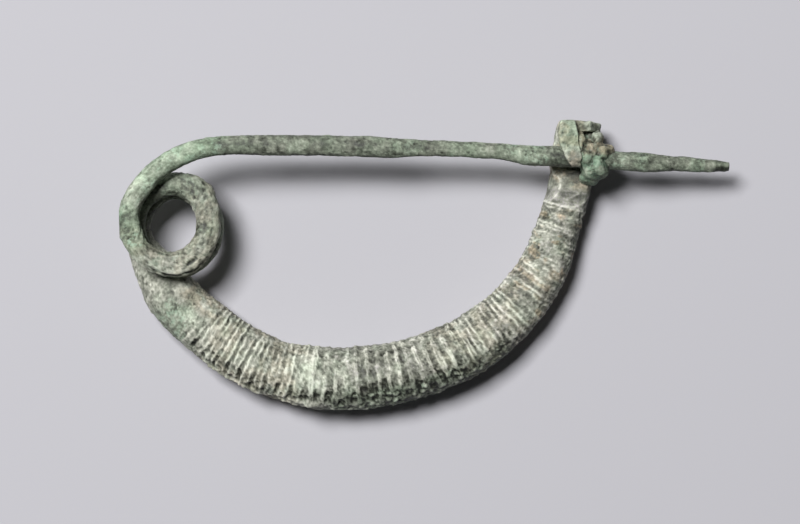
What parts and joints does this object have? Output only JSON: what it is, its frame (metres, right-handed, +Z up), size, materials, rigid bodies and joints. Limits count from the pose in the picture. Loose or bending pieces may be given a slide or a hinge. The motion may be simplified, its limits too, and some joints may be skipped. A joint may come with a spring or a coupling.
{
  "type": "bow fibula brooch",
  "caption": "Patinated bronze bow fibula lying on its side: ribbed arched bow, coiled spring, and a pin with a broken tip, locked by corrosion in its bent catch.",
  "frame": {"origin": "on the ground, in the middle of the footprint of the brooch as it lies on its side", "axes": "+X runs along the pin towards its broken tip, +Y runs in plan from the bow towards the pin, +Z is up, out of the side it lies on"},
  "size_m": [0.0898, 0.0428, 0.013],
  "materials": {
    "patinated_bronze": "matt crusted bronze patina, beige and grey-green on the bow, greener on the spring and pin, malachite green on the corrosion lump"
  },
  "bodies": {
    "root": {"fibula": "patinated_bronze"}
  },
  "joints": []
}
